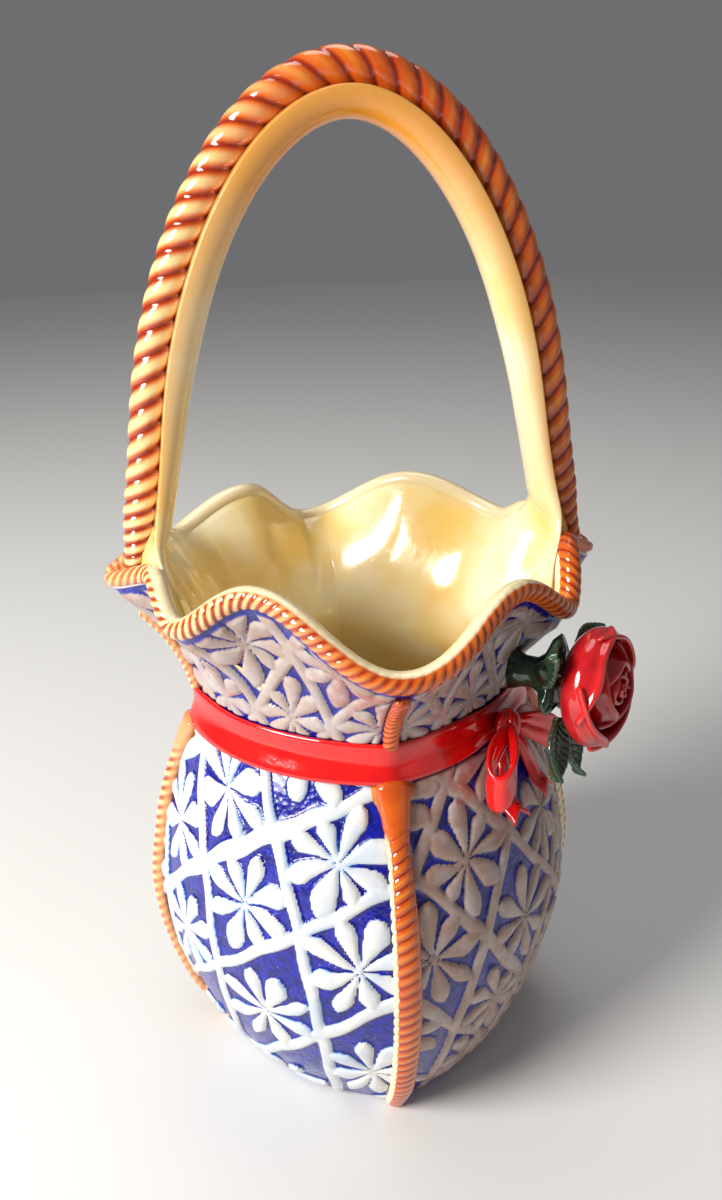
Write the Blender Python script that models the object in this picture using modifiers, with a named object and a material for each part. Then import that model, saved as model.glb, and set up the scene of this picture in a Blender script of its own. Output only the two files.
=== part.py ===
"""A slip-cast porcelain basket vase: a square body with bowed panels, a necked and ruffled rim,
an arched rope handle, rope mouldings on every corner and edge, and a ribbon, bow and rose
applied at the neck. Metres, +Z up, origin at the middle of the flat base. The body's corners
point along X and Y, the handle stands in the XZ plane, and the rose is on the face between +X and -Y.
"""

import math

import bmesh
import bpy
from mathutils import Matrix, Vector

MM = 0.001

# Driving dimensions
TOTAL_HEIGHT = 245 * MM
NECK_HEIGHT = 102 * MM
WALL = 3.6 * MM
GAP = 0.3 * MM

# Outer wall from base to neck: height, radius at a corner, radius at the middle of a panel
BODY_PROFILE = (
    (0 * MM, 36.5 * MM, 33.5 * MM),
    (19 * MM, 47.6 * MM, 43.5 * MM),
    (47 * MM, 53.6 * MM, 50.0 * MM),
    (70 * MM, 50.6 * MM, 47.6 * MM),
    (90 * MM, 43.2 * MM, 40.6 * MM),
    (NECK_HEIGHT, 37.8 * MM, 34.0 * MM),
)
# The neck is wider towards the handle's feet than from front to back
NECK_STRETCH = 0.045
STRETCH_BELOW = 40 * MM
STRETCH_ABOVE = 32 * MM
# Top edge of the wall, hand-ruffled: angle from the front corner, height, outer radius
RIM_WAVE = (
    (0, 128.3 * MM, 53.8 * MM),
    (35, 138.3 * MM, 46.8 * MM),
    (60, 127.6 * MM, 49.6 * MM),
    (80, 137.6 * MM, 47.4 * MM),
    (90, 139.6 * MM, 46.4 * MM),
    (100, 137.8 * MM, 47.4 * MM),
    (120, 132.4 * MM, 49.4 * MM),
    (151, 139.0 * MM, 46.8 * MM),
    (187, 126.0 * MM, 53.8 * MM),
    (212, 139.2 * MM, 46.8 * MM),
    (240, 133.6 * MM, 49.4 * MM),
    (260, 139.4 * MM, 47.4 * MM),
    (270, 141.2 * MM, 46.4 * MM),
    (280, 139.8 * MM, 47.4 * MM),
    (299, 131.0 * MM, 49.8 * MM),
    (324, 142.0 * MM, 46.8 * MM),
    (360, 128.3 * MM, 53.8 * MM),
)
FLARE_POWER = 2.0

# Handle, measured on the outside of its arch
ARCH_HALF_WIDTH = 52 * MM
ARCH_SPRING = 148 * MM
ARCH_POWER = 1.98
FOOT_FLARE = 6.8 * MM
FOOT_FLARE_FROM = 172 * MM
FOOT_FLARE_SPAN = 40 * MM
FOOT_HEIGHT = 131 * MM
HANDLE_ROPE_RADIUS = 4.3 * MM
STRAP_THICKNESS = 5.4 * MM
STRAP_WIDTH = 12 * MM
STRAP_FOOT = 143.2 * MM

# Rope mouldings
RIM_ROPE_RADIUS = 2.5 * MM
LOWER_ROPE_RADIUS = 2.3 * MM
UPPER_ROPE_RADIUS = 1.7 * MM
RIM_ROPE_CLEARANCE = 8.4  # degrees between a rim rope's end and the handle's plane
LOWER_ROPE_FOOT = 2.8 * MM
# Corners: name, angle, height where the upper rope ends under the rim
CORNERS = (
    ("front", 0, 124.5 * MM),
    ("right", 90, 125 * MM),
    ("back", 180, 122.5 * MM),
    ("left", 270, 125 * MM),
)

# Ribbon and bow
RIBBON_HEIGHT = 9.6 * MM
RIBBON_THICKNESS = 1.5 * MM
BOW_ANGLE = 48
KNOT_SIZE = (5.0 * MM, 6.5 * MM, 8.0 * MM)
KNOT_DISTANCE = 37.6 * MM
LOOP_LENGTH = 13 * MM
LOOP_DEPTH = 6.5 * MM
LOOP_HEIGHT = 9 * MM
LOOP_THICKNESS = 1.2 * MM
LOOP_LIFT = 15
LOOP_TAPER = 0.38
LOOP_STAND_OFF = 4 * MM
TAIL_LENGTH = 17 * MM
TAIL_WIDTH = 5.5 * MM
TAIL_SPLAY = 17
TAIL_SPREAD = 3.4 * MM

# Rose and leaves
ROSE_DISTANCE = 60 * MM
ROSE_HEIGHT = 117 * MM
ROSE_TILT = 4
BUD_RADIUS = 5.2 * MM
BUD_STRETCH = 1.25
PETAL_THICKNESS = 1.1 * MM
PETAL_PARTING = 1.2 * MM
# Rings of petals: radius, number, angle of the first
PETAL_RINGS = ((8.4 * MM, 3, 20), (12.6 * MM, 4, 0))
PETAL_ROOT = 150  # degrees from the way the rose faces, at the petal's root and at its lip
PETAL_LIP = 62
PETAL_DEPTH = 0.86
PETAL_DROOP = 0.16
ROSE_BACK = 12.2 * MM
STEM_BACK = 40.4 * MM
STEM_RISE = 2 * MM
STEM_RADII = (4.5 * MM, 3.2 * MM)
LEAF_LENGTH = 13 * MM
LEAF_ROOT = 11.4 * MM
LEAF_SETBACK = 7.2 * MM
LEAF_WIDTH = 9 * MM
LEAF_THICKNESS = 1.2 * MM
LEAF_CUP = 1 * MM
LEAF_CURL = 2 * MM
LEAF_TIP = 0.12
LEAF_SHAPE = 0.8
LEAF_NARROWING = 0.1
LEAF_ANGLES = (35, 140, 235, 270, 325)

# Mesh density
AROUND = 72
BELLY_ROWS = 13
RIM_ROWS = 6
ARCH_STEPS = 52
RIM_ROPE_STEPS = 42
LOOP_STEPS = 24
TAIL_STEPS = 8
PETAL_GRID = (6, 8)
LEAF_GRID = (10, 6)

COLOURS = {
    "glaze_blue": ((0.035, 0.06, 0.36), 0.18),
    "glaze_cream": ((0.86, 0.74, 0.48), 0.2),
    "rope_honey": ((0.72, 0.33, 0.08), 0.25),
    "ribbon_red": ((0.62, 0.03, 0.03), 0.2),
    "rose_red": ((0.55, 0.02, 0.02), 0.2),
    "leaf_green": ((0.02, 0.09, 0.03), 0.2),
}


def clear_scene():
    for thing in list(bpy.data.objects):
        bpy.data.objects.remove(thing, do_unlink=True)


def make_collection(name):
    collection = bpy.data.collections.new(name)
    bpy.context.scene.collection.children.link(collection)
    return collection


def material(name, finish):
    colour, roughness = COLOURS[finish]
    made = bpy.data.materials.new(name)
    made.use_nodes = True
    shader = made.node_tree.nodes["Principled BSDF"]
    shader.inputs["Base Color"].default_value = (*colour, 1)
    shader.inputs["Roughness"].default_value = roughness
    shader.inputs["Metallic"].default_value = 0
    return made


def place(name, data, finish, matrix=None):
    """Link one named sub-part, with its own material, into the vase's collection."""
    thing = bpy.data.objects.new(name, data)
    thing.data.materials.append(material(name + "_finish", finish))
    if matrix is not None:
        thing.matrix_world = matrix
    PARTS.objects.link(thing)
    return thing


def ease(low, high, share):
    """Between two values, level at both ends."""
    return low + (high - low) * (1 - math.cos(math.pi * share)) / 2


def direction(angle):
    """Unit vector at an angle in degrees from the front corner (-Y) towards +X."""
    turn = math.radians(angle)
    return Vector((math.sin(turn), -math.cos(turn), 0))


def bowed_square(corner, middle, angle):
    """Radius of a square whose sides are arcs, with corners at every quarter turn."""
    shift = (corner**2 - middle**2) / (math.sqrt(2) * corner - 2 * middle)
    off = math.radians(angle % 90 - 45)
    return shift * math.cos(off) + math.sqrt((middle - shift) ** 2 - (shift * math.sin(off)) ** 2)


def body_radii(height):
    """Corner and mid-panel radius of the outer wall below the neck, on a smooth curve."""
    rows = BODY_PROFILE
    last = len(rows) - 2
    step = next((i for i in range(last) if height <= rows[i + 1][0]), last)
    before, low = rows[max(step - 1, 0)], rows[step]
    high, after = rows[step + 1], rows[min(step + 2, len(rows) - 1)]
    span = high[0] - low[0]
    t = (height - low[0]) / span
    radii = []
    for column in (1, 2):
        rise = (high[column] - before[column]) / max(high[0] - before[0], MM) * span
        fall = (after[column] - low[column]) / max(after[0] - low[0], MM) * span
        radii.append(
            (2 * t**3 - 3 * t**2 + 1) * low[column]
            + (t**3 - 2 * t**2 + t) * rise
            + (3 * t**2 - 2 * t**3) * high[column]
            + (t**3 - t**2) * fall
        )
    return radii


def rim_at(angle):
    """Height and outer radius of the wall's top edge."""
    turn = angle % 360
    step = next(i for i in range(len(RIM_WAVE)) if turn <= RIM_WAVE[i + 1][0])
    low, high = RIM_WAVE[step], RIM_WAVE[step + 1]
    share = (turn - low[0]) / (high[0] - low[0])
    return ease(low[1], high[1], share), ease(low[2], high[2], share)


def wall_point(angle, height):
    """Point of the outer wall; above the neck it flares to the rim."""
    if height <= NECK_HEIGHT:
        radius = bowed_square(*body_radii(height), angle)
    else:
        top, rim_radius = rim_at(angle)
        neck_radius = bowed_square(*BODY_PROFILE[-1][1:], angle)
        share = (height - NECK_HEIGHT) / (top - NECK_HEIGHT)
        radius = neck_radius + (rim_radius - neck_radius) * share**FLARE_POWER
    span = STRETCH_BELOW if height < NECK_HEIGHT else STRETCH_ABOVE
    near = max(1 - ((height - NECK_HEIGHT) / span) ** 2, 0) ** 2
    point = direction(angle) * radius
    point.x *= 1 + NECK_STRETCH * near
    point.y *= 1 - NECK_STRETCH * near
    point.z = height
    return point


def wall_out(angle, height):
    """Outward normal of the wall in the upright plane through the axis."""
    rise = wall_point(angle, height + MM) - wall_point(angle, height - MM)
    outward = direction(angle)
    return (outward * rise.z - Vector((0, 0, 1)) * rise.dot(outward)).normalized()


def smooth(mesh, angle=40):
    mesh.shade_smooth()
    mesh.set_sharp_from_angle(angle=math.radians(angle))


def loft(name, rings, closed=True, start=None):
    """Open surface through rings of equal length, with an optional flat start."""
    mesh = bpy.data.meshes.new(name)
    shape = bmesh.new()
    rows = [[shape.verts.new(point) for point in ring] for ring in rings]
    count = len(rows[0])
    for low, high in zip(rows, rows[1:]):
        for i in range(count if closed else count - 1):
            j = (i + 1) % count
            shape.faces.new((low[i], low[j], high[j], high[i]))
    if start is not None:
        centre = shape.verts.new(start)
        for i in range(count):
            shape.faces.new((centre, rows[0][(i + 1) % count], rows[0][i]))
    shape.to_mesh(mesh)
    shape.free()
    return mesh


def thicken(thing, thickness, offset):
    shell = thing.modifiers.new("wall", "SOLIDIFY")
    shell.thickness = thickness
    shell.offset = offset
    shell.use_even_offset = True
    return shell


def tube(name, points, radius, finish):
    """Rope moulding stand-in: a filled tube along its route."""
    curve = bpy.data.curves.new(name, "CURVE")
    curve.dimensions = "3D"
    curve.bevel_depth = radius
    curve.bevel_resolution = 2
    curve.use_fill_caps = True
    line = curve.splines.new("POLY")
    line.points.add(len(points) - 1)
    for spot, point in zip(line.points, points):
        spot.co = (*point, 1)
    return place(name, curve, finish)


def make_body():
    heights = [NECK_HEIGHT * i / BELLY_ROWS for i in range(BELLY_ROWS + 1)]
    angles = [360 * i / AROUND for i in range(AROUND)]
    rings = [[wall_point(angle, height) for angle in angles] for height in heights]
    for i in range(1, RIM_ROWS + 1):
        rings.append(
            [
                wall_point(angle, NECK_HEIGHT + (rim_at(angle)[0] - NECK_HEIGHT) * i / RIM_ROWS)
                for angle in angles
            ]
        )
    mesh = loft("vase_body", rings, start=(0, 0, 0))
    smooth(mesh)
    thicken(place("vase_body", mesh, "glaze_blue"), WALL, -1)


def arch_outline(inset):
    """The handle's arch from its left foot to its right foot, moved inwards by inset."""
    rise = TOTAL_HEIGHT - ARCH_SPRING
    half = []
    for i in range(ARCH_STEPS // 2 + 1):
        turn = math.pi / 2 * i / (ARCH_STEPS // 2)
        across = ARCH_HALF_WIDTH * max(math.cos(turn), 0) ** (2 / ARCH_POWER)
        up = ARCH_SPRING + rise * math.sin(turn) ** (2 / ARCH_POWER)
        half.append((across, up))
    foot_steps = 6
    foot = [
        (ARCH_HALF_WIDTH, FOOT_HEIGHT + (ARCH_SPRING - FOOT_HEIGHT) * i / foot_steps)
        for i in range(foot_steps)
    ]
    right = []
    for across, up in foot + half:
        drop = max(FOOT_FLARE_FROM - up, 0) / FOOT_FLARE_SPAN
        right.append(Vector((across + FOOT_FLARE * drop**2, 0, up)))
    left = [Vector((-point.x, 0, point.z)) for point in right]
    line = left + right[-2::-1]
    moved = []
    for i, point in enumerate(line):
        along = line[min(i + 1, len(line) - 1)] - line[max(i - 1, 0)]
        inward = Vector((along.z, 0, -along.x)).normalized()
        moved.append(point + inward * inset)
    return moved


def make_handle():
    rope = arch_outline(HANDLE_ROPE_RADIUS)
    tube("handle_rope", rope, HANDLE_ROPE_RADIUS, "rope_honey")
    outer = 2 * HANDLE_ROPE_RADIUS + GAP
    lines = []
    for inset in (outer, outer + STRAP_THICKNESS):
        lines.append([point for point in arch_outline(inset) if point.z >= STRAP_FOOT])
    curve = bpy.data.curves.new("handle_strap", "CURVE")
    curve.dimensions = "2D"
    curve.fill_mode = "BOTH"
    curve.extrude = STRAP_WIDTH / 2
    outline = lines[0] + lines[1][::-1]
    line = curve.splines.new("POLY")
    line.points.add(len(outline) - 1)
    line.use_cyclic_u = True
    for spot, point in zip(line.points, outline):
        spot.co = (point.x, point.z, 0, 1)
    place("handle_strap", curve, "glaze_cream", Matrix.Rotation(math.pi / 2, 4, "X"))


def on_rim(angle, above):
    """Point above the middle of the wall's edge, in line with the wall there."""
    top = rim_at(angle)[0]
    edge = wall_point(angle + 1, rim_at(angle + 1)[0]) - wall_point(angle - 1, rim_at(angle - 1)[0])
    rise = wall_point(angle, top) - wall_point(angle, top - 2 * MM)
    outward = edge.cross(rise).normalized()
    upward = outward.cross(edge).normalized()
    return wall_point(angle, top) - outward * WALL / 2 + upward * above


def make_rim_ropes():
    """One rope each side of the handle's plane, laid on the wall's top edge."""
    reach = 90 - RIM_ROPE_CLEARANCE
    lift = RIM_ROPE_RADIUS + 2 * GAP
    for name, middle in (("rim_rope_front", 0), ("rim_rope_back", 180)):
        points = []
        for i in range(RIM_ROPE_STEPS + 1):
            angle = middle + reach * (2 * i / RIM_ROPE_STEPS - 1)
            points.append(on_rim(angle, lift))
        tube(name, points, RIM_ROPE_RADIUS, "rope_honey")


def make_corner_ropes():
    """Ropes up the four corners, broken by the ribbon at the neck."""
    half_ribbon = RIBBON_HEIGHT / 2 + 2 * GAP
    for name, angle, upper_top in CORNERS:
        spans = (
            ("lower", LOWER_ROPE_RADIUS, LOWER_ROPE_FOOT, NECK_HEIGHT - half_ribbon, 18),
            ("upper", UPPER_ROPE_RADIUS, NECK_HEIGHT + half_ribbon, upper_top, 8),
        )
        for level, radius, bottom, top, steps in spans:
            points = []
            for i in range(steps + 1):
                height = bottom + (top - bottom) * i / steps
                stand_off = wall_out(angle, height) * (radius + GAP)
                points.append(wall_point(angle, height) + stand_off)
            tube(f"corner_rope_{level}_{name}", points, radius, "rope_honey")


def make_ribbon():
    rows = 2
    angles = [360 * i / AROUND for i in range(AROUND)]
    rings = []
    for i in range(rows + 1):
        height = NECK_HEIGHT + RIBBON_HEIGHT * (i / rows - 0.5)
        rings.append([wall_point(angle, height) + direction(angle) * GAP for angle in angles])
    mesh = loft("ribbon_band", rings)
    smooth(mesh)
    thicken(place("ribbon_band", mesh, "ribbon_red"), RIBBON_THICKNESS, 1)


def bow_frame():
    """Origin on the ribbon at the bow; X outwards, Y along the ribbon, Z up."""
    out = direction(BOW_ANGLE)
    along = Vector((0, 0, 1)).cross(out)
    turn = Matrix((out, along, Vector((0, 0, 1)))).transposed().to_4x4()
    return Matrix.Translation(out * KNOT_DISTANCE + Vector((0, 0, NECK_HEIGHT))) @ turn


def make_bow():
    frame = bow_frame()
    depth, width, height = KNOT_SIZE
    shape = bmesh.new()
    bmesh.ops.create_uvsphere(shape, u_segments=16, v_segments=10, radius=0.5)
    bmesh.ops.scale(shape, vec=(depth, width, height), verts=shape.verts)
    mesh = bpy.data.meshes.new("bow_knot")
    shape.to_mesh(mesh)
    shape.free()
    smooth(mesh)
    place("bow_knot", mesh, "ribbon_red", frame @ Matrix.Translation((depth / 2, 0, 0)))
    for name, side in (("bow_loop_left", -1), ("bow_loop_right", 1)):
        make_loop(name, frame, side)


def make_loop(name, frame, side):
    """A loop of ribbon standing off the knot, open at top and bottom."""
    curve = bpy.data.curves.new(name, "CURVE")
    curve.dimensions = "2D"
    curve.fill_mode = "BOTH"
    curve.extrude = LOOP_HEIGHT / 2
    for inset in (0, LOOP_THICKNESS):
        line = curve.splines.new("POLY")
        line.points.add(LOOP_STEPS - 1)
        line.use_cyclic_u = True
        for i, spot in enumerate(line.points):
            turn = 2 * math.pi * i / LOOP_STEPS
            taper = 1 - LOOP_TAPER - LOOP_TAPER * math.cos(turn)
            x = (LOOP_LENGTH / 2 - inset) * (1 - math.cos(turn)) + inset
            y = (LOOP_DEPTH / 2 - inset) * math.sin(turn) * taper
            spot.co = (x, y, 0, 1)
    heading = math.radians(side * (90 - LOOP_LIFT))
    start = Matrix.Translation((LOOP_STAND_OFF, side * (KNOT_SIZE[1] / 2 + GAP), 0))
    place(name, curve, "ribbon_red", frame @ start @ Matrix.Rotation(heading, 4, "Z"))


def make_tails():
    """Two ribbon ends lying down the panel below the knot."""
    clearance = 2 * GAP
    start = NECK_HEIGHT - RIBBON_HEIGHT / 2 - 2 * GAP
    for name, side in (("ribbon_tail_left", -1), ("ribbon_tail_right", 1)):
        rings = []
        for i in range(TAIL_STEPS + 1):
            drop = TAIL_LENGTH * i / TAIL_STEPS
            height = start - drop * math.cos(math.radians(TAIL_SPLAY))
            sway = side * (TAIL_SPREAD + drop * math.sin(math.radians(TAIL_SPLAY)))
            row = []
            for across in (-0.5, -0.17, 0.17, 0.5):
                reach = wall_point(BOW_ANGLE, height).xy.length
                angle = BOW_ANGLE + math.degrees((sway + across * TAIL_WIDTH) / reach)
                row.append(wall_point(angle, height) + wall_out(angle, height) * clearance)
            rings.append(row)
        mesh = loft(name, rings, closed=False)
        smooth(mesh)
        thicken(place(name, mesh, "ribbon_red"), RIBBON_THICKNESS, -1)


def rose_frame():
    """Origin at the rose's middle; Z is the way it faces, Y upwards."""
    out = direction(BOW_ANGLE)
    tilt = math.radians(ROSE_TILT)
    facing = out * math.cos(tilt) + Vector((0, 0, 1)) * math.sin(tilt)
    across = Vector((0, 0, 1)).cross(facing).normalized()
    turn = Matrix((across, facing.cross(across), facing)).transposed().to_4x4()
    return Matrix.Translation(out * ROSE_DISTANCE + Vector((0, 0, ROSE_HEIGHT))) @ turn


def make_petal(name, frame, radius, start, span):
    """One cupped petal: part of a bowl around the rose's axis."""
    up, across = PETAL_GRID
    rings = []
    for i in range(up + 1):
        bowl = math.radians(PETAL_ROOT + (PETAL_LIP - PETAL_ROOT) * i / up)
        row = []
        for j in range(across + 1):
            share = j / across
            edge = 1 - PETAL_DROOP * (2 * share - 1) ** 2 * i / up
            turn = math.radians(start + span * share)
            reach = radius * math.sin(bowl)
            lift = radius * PETAL_DEPTH * math.cos(bowl) * edge
            row.append((reach * math.cos(turn), reach * math.sin(turn), lift))
        rings.append(row)
    mesh = loft(name, rings, closed=False)
    smooth(mesh)
    thicken(place(name, mesh, "rose_red", frame), PETAL_THICKNESS, 0)


def make_rose():
    frame = rose_frame()
    shape = bmesh.new()
    bmesh.ops.create_uvsphere(shape, u_segments=16, v_segments=12, radius=BUD_RADIUS)
    bmesh.ops.scale(shape, vec=(1, 1, BUD_STRETCH), verts=shape.verts)
    mesh = bpy.data.meshes.new("rose_bud")
    shape.to_mesh(mesh)
    shape.free()
    smooth(mesh)
    place("rose_bud", mesh, "rose_red", frame)
    number = 1
    for radius, count, first in PETAL_RINGS:
        share = 360 / count
        parting = math.degrees(PETAL_PARTING / radius)
        for i in range(count):
            make_petal(f"rose_petal_{number}", frame, radius, first + share * i, share - parting)
            number += 1


def make_stem():
    """Clay stalk that carries the rose on the wall above the ribbon."""
    frame = rose_frame()
    back = frame @ Vector((0, 0, -ROSE_BACK))
    root = direction(BOW_ANGLE) * STEM_BACK + Vector((0, 0, back.z - STEM_RISE))
    along = back - root
    shape = bmesh.new()
    bmesh.ops.create_cone(
        shape,
        cap_ends=True,
        segments=20,
        radius1=STEM_RADII[0],
        radius2=STEM_RADII[1],
        depth=along.length,
    )
    mesh = bpy.data.meshes.new("rose_stem")
    shape.to_mesh(mesh)
    shape.free()
    smooth(mesh)
    turn = along.to_track_quat("Z", "Y").to_matrix().to_4x4()
    place("rose_stem", mesh, "leaf_green", Matrix.Translation((root + back) / 2) @ turn)


def make_leaf(name, frame, angle):
    """A pointed leaf behind the rose, curling forward towards its tip."""
    along, across = LEAF_GRID
    rings = []
    for i in range(along + 1):
        share = i / along
        bow = LEAF_TIP + (1 - LEAF_TIP) * math.sin(math.pi * share**LEAF_SHAPE)
        width = LEAF_WIDTH * bow * (1 - LEAF_NARROWING * share)
        row = []
        for j in range(across + 1):
            side = j / across - 0.5
            cup = LEAF_CUP * (2 * side) ** 2
            curl = LEAF_CURL * share**2
            row.append((LEAF_ROOT + LEAF_LENGTH * share, side * width, cup + curl))
        rings.append(row)
    mesh = loft(name, rings, closed=False)
    smooth(mesh)
    behind = Matrix.Translation((0, 0, -LEAF_SETBACK))
    spin = Matrix.Rotation(math.radians(angle), 4, "Z")
    leaf = place(name, mesh, "leaf_green", frame @ behind @ spin)
    thicken(leaf, LEAF_THICKNESS, 0)


def make_leaves():
    frame = rose_frame()
    for number, angle in enumerate(LEAF_ANGLES, start=1):
        make_leaf(f"rose_leaf_{number}", frame, angle)


clear_scene()
PARTS = make_collection("porcelain_basket_vase")
make_body()
make_handle()
make_rim_ropes()
make_corner_ropes()
make_ribbon()
make_bow()
make_tails()
make_rose()
make_stem()
make_leaves()
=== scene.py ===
"""The looks of the porcelain basket vase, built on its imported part. Metres, +Z up.

Angles run from the front corner (-Y) towards +X. Each glazed piece rides on the part's one body.
"""

import math

import bpy
import numpy as np
from mathutils import Matrix, Vector


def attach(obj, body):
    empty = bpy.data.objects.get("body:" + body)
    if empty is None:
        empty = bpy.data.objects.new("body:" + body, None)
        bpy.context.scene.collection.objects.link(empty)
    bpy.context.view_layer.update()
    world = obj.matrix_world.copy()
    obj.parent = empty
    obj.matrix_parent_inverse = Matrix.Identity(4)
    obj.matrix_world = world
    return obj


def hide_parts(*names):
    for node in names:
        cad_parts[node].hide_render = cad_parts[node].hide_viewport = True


MM = 0.001

# Body, as in the part: height, radius at a corner, radius at the middle of a panel, in millimetres
NECK_HEIGHT = 102 * MM
WALL = 3.6 * MM
BODY_PROFILE = (
    (0, 36.5, 33.5), (19, 47.6, 43.5), (47, 53.6, 50.0),
    (70, 50.6, 47.6), (90, 43.2, 40.6), (102, 37.8, 34.0),
)
NECK_STRETCH = 0.045
STRETCH_BELOW = 40 * MM
STRETCH_ABOVE = 32 * MM
FLARE_POWER = 2.0
# Top edge of the wall under the ropes: angle, height and outer radius in millimetres. It points out
# under the handle's feet
RIM_WAVE = (
    (0, 128.3, 53.8), (35, 138.3, 46.8), (60, 127.6, 49.6), (76, 137.8, 49.2),
    (90, 131.8, 57.2), (104, 137.8, 49.2), (120, 132.4, 49.4), (151, 139.0, 46.8),
    (187, 126.0, 53.8), (212, 139.2, 46.8), (240, 133.6, 49.4), (256, 138.6, 49.2),
    (270, 134.2, 57.4), (284, 138.2, 49.2), (299, 131.0, 49.8), (324, 142.0, 46.8),
    (360, 128.3, 53.8),
)
BASE_RECESS = 1.2 * MM
FOOT_RING = 4.5 * MM

# Mesh density of the body
AROUND = 624
BELLY_ROWS = 240
BAND_ROWS = 84
INSIDE_ROWS = 48
LIP_ROWS = 5
WALL_SAMPLES = 800
# Share of the inside rows that lie below the neck, and rise of the rounded lip
NECK_SHARE = 0.45
LIP_RISE = 0.8 * MM

# The relief fades out at the corners (in millimetres), behind the ribbon, at the rim and at the foot
CORNER_CLEAR = (1.2, 2.6)
RIBBON_CLEAR = 4.6 * MM
RIBBON_FADE = 0.8 * MM
RIM_CLEAR = (0.2 * MM, 2.0 * MM)
FOOT_CLEAR = (0.5 * MM, 2.5 * MM)
# Rise at which bars and petals are white
BAR_WHITE = 0.75
PETAL_WHITE = 0.6
# Tan on the relief: on the whole band a real stain with painted shade, more stain under the rim, and painted
# shade with warm reflected light on the right-hand panels
BAND_STAIN_AND_SHADE = 0.7
STAIN_DEPTH = 8 * MM
SIDE_SHADE = 0.95
# Brown seam beside the corner ropes: where it fades and where it is full, in millimetres from the
# corner, each with the amount that it widens by between two distances below the ribbon's middle
SEAM_HALF = ((2.2, 3.6), (1.0, 2.0))
SEAM_SPREAD = (18 * MM, 4 * MM)

# Raised lattice. A steep bar's distance from the corner is a + b*z + c*z*z, and a cross bar's
# height is a + b*s + c*s*s at a distance s from the corner, all in millimetres
LEFT_STEEP = ((-32, 0.04, 0), (-4, 0.04, 0), (13.9, 0.152, 0), (43.3, 0.112, 0), (70, 0.1, 0), (96, 0.1, 0))
LEFT_CROSS = (
    (152, -0.60, 0), (125, -0.53, 0), (96.7, -0.36, -0.0028),
    (77, -0.42, -0.0048), (51, -0.62, -0.011), (4, -0.7, -0.011),
)
RIGHT_STEEP = (
    (-66, 0.565, 0), (-41.8, 0.565, 0), (7.0, 0.08, 0.0026),
    (20.5, 0.35, 0.0030), (46.0, 0.40, 0.0030), (74.0, 0.40, 0.0030),
)
RIGHT_CROSS = (
    (157, -0.75, -0.003), (131, -0.75, -0.003), (105, -0.80, -0.003),
    (80.6, -0.93, -0.009), (51, -1.25, -0.002), (20, -1.1, -0.002),
)
BAND_STEEP = tuple((a, 0.349, 0) for a in (-46.6, -25.7, -4.8, 16.1, 37.0))
BAND_CROSS = tuple((a, -1.508, 0) for a in (99.0, 130.6, 162.1, 193.6, 225.2, 256.7))
BAND_RADIUS = 40.0
BAR_HALF = 1.75
BAR_RISE = 0.95
BAR_SQUARENESS = 3.5
# Petals: rise, share of the length at which they are widest, greatest half width, share of the room
# beside their neighbours, least and greatest length, and how far the tips run into a bar
PETAL_RISE = 1.15
PETAL_FULL = 0.7
PETAL_HALF = 2.5
PETAL_CROWD = 0.66
PETAL_REACH = (4.0, 13.2)
TIP_OVERLAP = 0.7
FLOWER_SPAN = 19


def place(node, ending, vertices, faces, materials, attributes):
    """The mesh piece for one node of the part, with one value per vertex for each attribute."""
    name = f"{node}_{ending}"
    mesh = bpy.data.meshes.new(name)
    mesh.from_pydata(np.asarray(vertices).reshape(-1, 3).tolist(), [], faces)
    mesh.update()
    for key, values in attributes.items():
        layer = mesh.attributes.new(key, "FLOAT", "POINT")
        layer.data.foreach_set("value", np.asarray(values, np.float32).ravel())
    for finish in materials:
        mesh.materials.append(finish)
    mesh.shade_smooth()
    piece = bpy.data.objects.new(name, mesh)
    bpy.context.scene.collection.objects.link(piece)
    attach(piece, "root")
    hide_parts(node)
    return piece


def grid_faces(rows, columns, wrap=True):
    """Quads between neighbouring rows of a grid whose vertices run row by row."""
    across = columns if wrap else columns - 1
    low = np.arange(rows - 1)[:, None] * columns
    here = np.arange(across)[None, :]
    there = (here + 1) % columns
    quads = np.stack([low + here, low + there, low + columns + there, low + columns + here], axis=-1)
    return quads.reshape(-1, 4).tolist()


def smoothstep(low, high, x):
    t = np.clip((x - low) / (high - low), 0, 1)
    return t * t * (3 - 2 * t)


def circle(count):
    return np.arange(count) * 2 * math.pi / count


def squarish(x, power):
    """A sine or cosine made flatter, which rounds a section out towards a square."""
    return np.sign(x) * np.abs(x) ** power


# --- The wall ---


def bowed_square(corner, middle, angle):
    shift = (corner**2 - middle**2) / (math.sqrt(2) * corner - 2 * middle)
    off = np.radians(angle % 90 - 45)
    return shift * np.cos(off) + np.sqrt((middle - shift) ** 2 - (shift * np.sin(off)) ** 2)


def body_radii(height):
    """Corner and mid-panel radius of the outer wall below the neck, on a smooth curve."""
    rows = np.array(BODY_PROFILE) * MM
    last = len(rows) - 2
    step = next((i for i in range(last) if height <= rows[i + 1][0]), last)
    before, low = rows[max(step - 1, 0)], rows[step]
    high, after = rows[step + 1], rows[min(step + 2, len(rows) - 1)]
    span = high[0] - low[0]
    t = (height - low[0]) / span
    rise = (high - before) / (high[0] - before[0]) * span
    fall = (after - low) / (after[0] - low[0]) * span
    ends = (2 * t**3 - 3 * t**2 + 1) * low + (3 * t**2 - 2 * t**3) * high
    return (ends + (t**3 - 2 * t**2 + t) * rise + (t**3 - t**2) * fall)[1:]


PROFILE_HEIGHTS = np.linspace(0, NECK_HEIGHT, 409)
PROFILE_RADII = np.array([body_radii(height) for height in PROFILE_HEIGHTS])


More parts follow.
